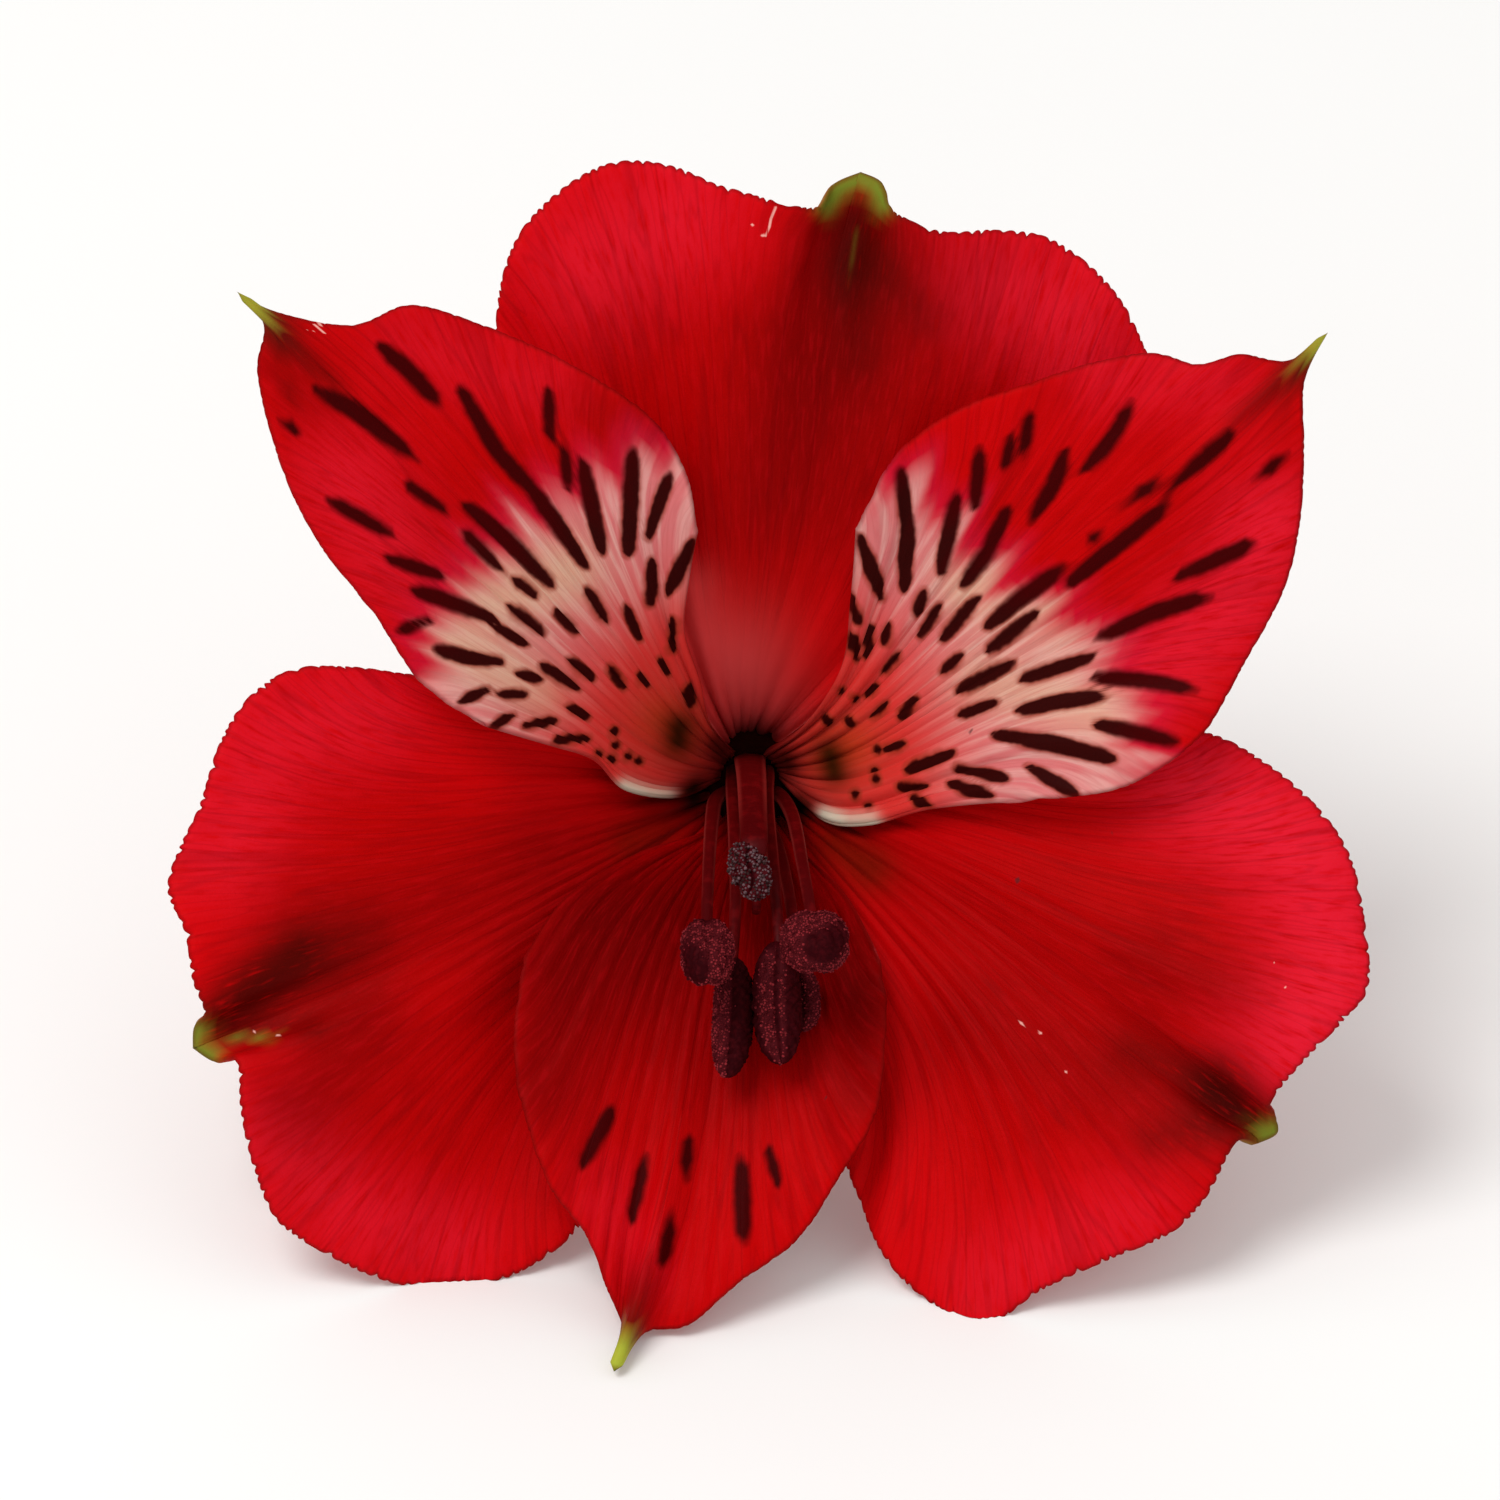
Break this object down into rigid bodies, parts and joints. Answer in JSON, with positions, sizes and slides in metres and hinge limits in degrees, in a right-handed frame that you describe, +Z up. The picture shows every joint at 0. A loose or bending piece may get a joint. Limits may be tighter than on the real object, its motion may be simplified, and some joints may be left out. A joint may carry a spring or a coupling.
{
  "type": "alstroemeria bloom on its stalk",
  "caption": "Single picked alstroemeria flower lying on a table, with broad toothed outer tepals, narrower flecked inner ones, stamens and a short bent stalk",
  "frame": {"origin": "middle of the part's footprint, on the surface that it lies on", "axes": "+Z up, away from the surface; the bloom's face looks towards -Y and up by 36 degrees; the stalk runs towards +Y"},
  "size_m": [0.0748, 0.09, 0.059],
  "materials": {
    "stalk": "soft green skin, slightly waxy",
    "petal_red": "satin crimson petal with fine darker veins",
    "petal_marked": "satin crimson petal with a pale zone and dark flecks",
    "filament": "satin dark red",
    "anther": "dull dark maroon, finely grained"
  },
  "bodies": {
    "root": {"ovary_and_stalk": "stalk", "tepal_outer_top": "petal_red", "tepal_outer_left": "petal_red", "tepal_outer_right": "petal_red", "tepal_inner_left": "petal_marked", "tepal_inner_right": "petal_marked", "tepal_inner_lower": "petal_marked", "filament_left": "filament", "filament_right": "filament", "filament_lower_left": "filament", "filament_lower_middle": "filament", "filament_lower_right": "filament", "filament_shed": "filament", "style": "filament", "anther_left": "anther", "anther_right": "anther", "anther_lower_left": "anther", "anther_lower_middle": "anther", "anther_lower_right": "anther", "anther_shed": "anther"}
  },
  "joints": []
}
